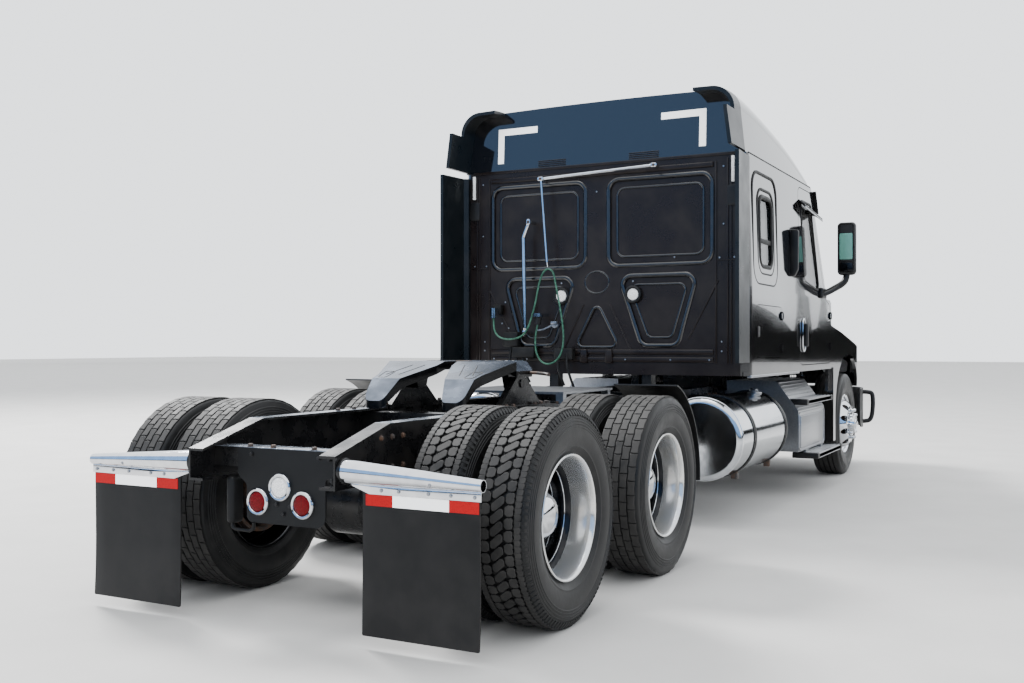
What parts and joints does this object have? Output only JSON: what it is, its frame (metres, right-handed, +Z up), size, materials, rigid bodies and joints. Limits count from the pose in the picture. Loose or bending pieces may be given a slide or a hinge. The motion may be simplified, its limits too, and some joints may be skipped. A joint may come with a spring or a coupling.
{
  "type": "semi truck tractor unit",
  "caption": "Three-axle conventional tractor unit with a mid-height sleeper, fifth wheel, steering, opening doors and tilting hood.",
  "frame": {"origin": "on the ground under the middle of the vehicle's length and width", "axes": "+X forward along the frame, +Y to the vehicle's left, +Z up"},
  "size_m": [8.8, 2.98, 3.2014],
  "materials": {
    "black_paint": "gloss black paint",
    "chassis_paint": "gloss black chassis paint",
    "polished_aluminium": "polished",
    "brushed_aluminium": "brushed and tread-pressed",
    "chrome": "chrome plate",
    "tyre_rubber": "worn tread rubber",
    "black_rubber": "matt rubber",
    "cast_iron": "greased cast steel",
    "cab_glass": "tinted",
    "black_plastic": "grained black",
    "trim_fabric": "woven",
    "lamp_lens": "clear and red lenses",
    "cable_jacket": "green jacket"
  },
  "bodies": {
    "chassis": {"frame": "chassis_paint", "lamp_plate": "chassis_paint", "rear_lamps": "lamp_lens", "cab_side_left": "black_paint", "cab_side_right": "black_paint", "roof": "black_paint", "cab_glass": "cab_glass", "cab_front": "black_paint", "back_wall": "black_paint", "cab_floor": "chassis_paint", "side_extenders": "black_paint", "bunk": "trim_fabric", "seats": "trim_fabric", "dashboard": "black_plastic", "front_bumper": "black_paint", "hood_arms": "chassis_paint", "steer_axle": "chassis_paint", "suspension": "chassis_paint", "drive_axles": "chassis_paint", "powertrain": "cast_iron", "fuel_tanks": "polished_aluminium", "tank_straps": "black_rubber", "step_boxes": "brushed_aluminium", "deck_plate": "brushed_aluminium", "fifth_wheel_base": "chassis_paint", "quarter_fenders": "black_plastic", "flap_hangers": "polished_aluminium", "mud_flaps": "black_rubber", "cable_stand": "chrome", "sun_visor": "black_paint", "supply_cable": "cable_jacket", "cable_plug": "black_plastic"},
    "door_left": {"door_left": "black_paint", "door_glass_left": "cab_glass", "mirror_left": "black_plastic"},
    "door_right": {"door_right": "black_paint", "door_glass_right": "cab_glass", "mirror_right": "black_plastic"},
    "locker_left": {"locker_door_left": "black_paint"},
    "locker_right": {"locker_door_right": "black_paint"},
    "hood": {"hood": "black_paint", "grille": "chrome", "headlamps": "lamp_lens"},
    "fifth_wheel": {"fifth_wheel_plate": "cast_iron"},
    "knuckle_left": {"knuckle_left": "chassis_paint"},
    "knuckle_right": {"knuckle_right": "chassis_paint"},
    "tie_rod": {"tie_rod": "chassis_paint"},
    "steer_wheel_left": {"steer_tyre_left": "tyre_rubber", "steer_rim_left": "polished_aluminium"},
    "steer_wheel_right": {"steer_tyre_right": "tyre_rubber", "steer_rim_right": "polished_aluminium"},
    "dual_wheels_rear_left": {"dual_tyres_rear_left": "tyre_rubber", "dual_rims_rear_left": "polished_aluminium"},
    "dual_wheels_rear_right": {"dual_tyres_rear_right": "tyre_rubber", "dual_rims_rear_right": "polished_aluminium"},
    "dual_wheels_front_left": {"dual_tyres_front_left": "tyre_rubber", "dual_rims_front_left": "polished_aluminium"},
    "dual_wheels_front_right": {"dual_tyres_front_right": "tyre_rubber", "dual_rims_front_right": "polished_aluminium"}
  },
  "joints": [
    {"name": "door_left_hinge", "type": "hinge", "parent": "chassis", "child": "door_left", "pos_m": [2.232, 1.208, 1.4], "axis": [0, 0, -1], "range_deg": [0, 70]},
    {"name": "door_right_hinge", "type": "hinge", "parent": "chassis", "child": "door_right", "pos_m": [2.232, -1.208, 1.4], "axis": [0, 0, 1], "range_deg": [0, 70]},
    {"name": "locker_left_hinge", "type": "hinge", "parent": "chassis", "child": "locker_left", "pos_m": [0.372, 1.208, 1.416], "axis": [0, 0, -1], "range_deg": [0, 85]},
    {"name": "locker_right_hinge", "type": "hinge", "parent": "chassis", "child": "locker_right", "pos_m": [0.372, -1.208, 1.416], "axis": [0, 0, 1], "range_deg": [0, 85]},
    {"name": "hood_tilt", "type": "hinge", "parent": "chassis", "child": "hood", "pos_m": [4.215, 0, 0.88], "axis": [0, 1, 0], "range_deg": [0, 52]},
    {"name": "fifth_wheel_pitch", "type": "hinge", "parent": "chassis", "child": "fifth_wheel", "pos_m": [-2.56, 0, 1.09], "axis": [0, 1, 0], "range_deg": [-12, 12]},
    {"name": "steer_left", "type": "hinge", "parent": "chassis", "child": "knuckle_left", "pos_m": [3.13, 0.895, 0.512], "axis": [0, 0, 1], "range_deg": [-36, 36]},
    {"name": "steer_right", "type": "hinge", "parent": "chassis", "child": "knuckle_right", "pos_m": [3.13, -0.895, 0.512], "axis": [0, 0, 1], "range_deg": [-36, 36]},
    {"name": "tie_rod_swing", "type": "hinge", "parent": "knuckle_left", "child": "tie_rod", "pos_m": [2.92, 0.895, 0.4], "axis": [0, 0, 1], "range_deg": [-36, 36]},
    {"name": "steer_wheel_left_spin", "type": "hinge", "parent": "knuckle_left", "child": "steer_wheel_left", "pos_m": [3.13, 1.05, 0.512], "axis": [0, 1, 0], "continuous": true},
    {"name": "steer_wheel_right_spin", "type": "hinge", "parent": "knuckle_right", "child": "steer_wheel_right", "pos_m": [3.13, -1.05, 0.512], "axis": [0, 1, 0], "continuous": true},
    {"name": "dual_rear_left_spin", "type": "hinge", "parent": "chassis", "child": "dual_wheels_rear_left", "pos_m": [-3.62, 0.911, 0.512], "axis": [0, 1, 0], "continuous": true},
    {"name": "dual_rear_right_spin", "type": "hinge", "parent": "chassis", "child": "dual_wheels_rear_right", "pos_m": [-3.62, -0.911, 0.512], "axis": [0, 1, 0], "continuous": true},
    {"name": "dual_front_left_spin", "type": "hinge", "parent": "chassis", "child": "dual_wheels_front_left", "pos_m": [-2.295, 0.911, 0.512], "axis": [0, 1, 0], "continuous": true},
    {"name": "dual_front_right_spin", "type": "hinge", "parent": "chassis", "child": "dual_wheels_front_right", "pos_m": [-2.295, -0.911, 0.512], "axis": [0, 1, 0], "continuous": true}
  ],
  "couplings": [
    {"joint": "steer_right", "follows": "steer_left", "ratio": 1},
    {"joint": "tie_rod_swing", "follows": "steer_left", "ratio": -1}
  ]
}
